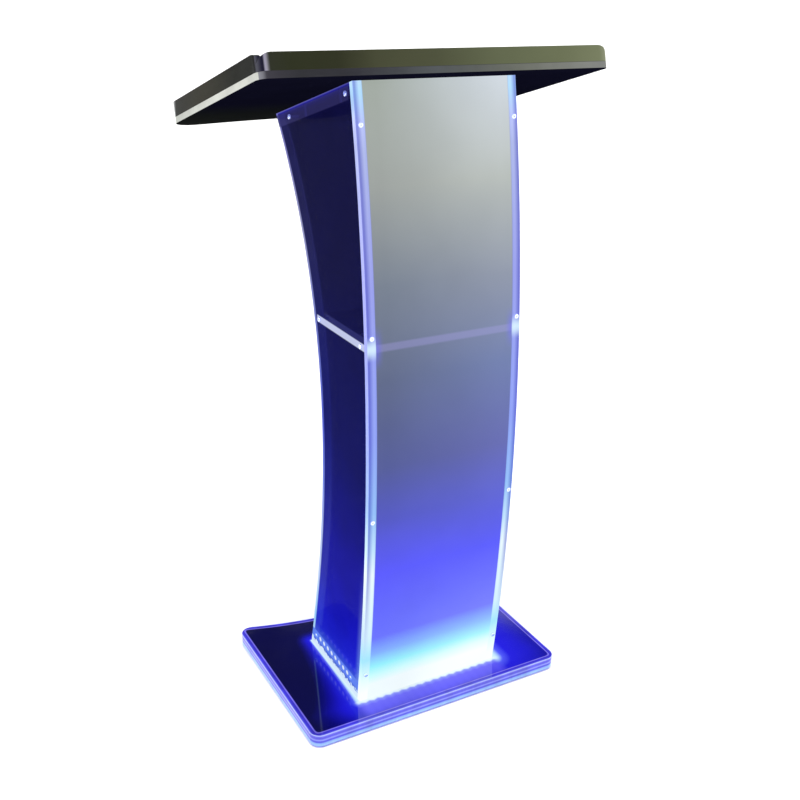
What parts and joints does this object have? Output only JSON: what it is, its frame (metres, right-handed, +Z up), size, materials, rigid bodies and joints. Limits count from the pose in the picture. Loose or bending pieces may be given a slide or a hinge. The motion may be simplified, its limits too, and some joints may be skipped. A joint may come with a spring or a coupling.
{
  "type": "presentation lectern",
  "caption": "Clear acrylic presentation lectern with a curved column, a frosted front panel, a lit base, an inner shelf and a tilted rimmed desk.",
  "frame": {"origin": "on the floor, at the middle of the lectern's footprint seen from above, without its power lead", "axes": "+Z up; the audience's side faces -Y and the speaker stands at +Y; +X is to the right as the audience sees it"},
  "size_m": [0.6, 0.4706, 1.1457],
  "materials": {
    "clear_acrylic": "polished clear acrylic, lit blue from below",
    "frosted_acrylic": "sandblasted translucent acrylic",
    "tray_acrylic": "polished clear acrylic, grey-olive in its edges",
    "screw_steel": "polished stainless steel",
    "foot_rubber": "matt black rubber",
    "led_strip": "white flexible circuit under clear silicone, lit",
    "cable_pvc": "satin black soft PVC",
    "plug_metal": "nickel plate"
  },
  "bodies": {
    "root": {"base_plate": "clear_acrylic", "side_panel_left": "clear_acrylic", "side_panel_right": "clear_acrylic", "shelf": "clear_acrylic", "top_plate": "clear_acrylic", "bottom_plate": "clear_acrylic", "front_panel": "frosted_acrylic", "desk_plate": "tray_acrylic", "rim_front": "tray_acrylic", "rim_left": "tray_acrylic", "rim_right": "tray_acrylic", "rim_rear": "tray_acrylic", "foot_front_left": "foot_rubber", "foot_front_right": "foot_rubber", "foot_rear_left": "foot_rubber", "foot_rear_right": "foot_rubber", "led_strip_front": "led_strip", "led_strip_left": "led_strip", "led_strip_right": "led_strip", "led_strip_rear": "led_strip", "lead_connector": "cable_pvc", "lead_strain_relief": "cable_pvc", "power_lead": "cable_pvc", "power_lead_coil": "cable_pvc", "power_plug_body": "cable_pvc", "power_plug_tip": "plug_metal", "screw_front_left_1": "screw_steel", "screw_front_left_2": "screw_steel", "screw_front_left_3": "screw_steel", "screw_front_left_4": "screw_steel", "screw_bottom_plate_front_left": "screw_steel", "screw_bottom_plate_rear_left": "screw_steel", "screw_shelf_front_left": "screw_steel", "screw_shelf_rear_left": "screw_steel", "screw_top_plate_front_left": "screw_steel", "screw_top_plate_rear_left": "screw_steel", "screw_base_left_1": "screw_steel", "screw_base_left_2": "screw_steel", "screw_desk_left_1": "screw_steel", "screw_desk_left_2": "screw_steel", "screw_front_right_1": "screw_steel", "screw_front_right_2": "screw_steel", "screw_front_right_3": "screw_steel", "screw_front_right_4": "screw_steel", "screw_bottom_plate_front_right": "screw_steel", "screw_bottom_plate_rear_right": "screw_steel", "screw_shelf_front_right": "screw_steel", "screw_shelf_rear_right": "screw_steel", "screw_top_plate_front_right": "screw_steel", "screw_top_plate_rear_right": "screw_steel", "screw_base_right_1": "screw_steel", "screw_base_right_2": "screw_steel", "screw_desk_right_1": "screw_steel", "screw_desk_right_2": "screw_steel"}
  },
  "joints": []
}
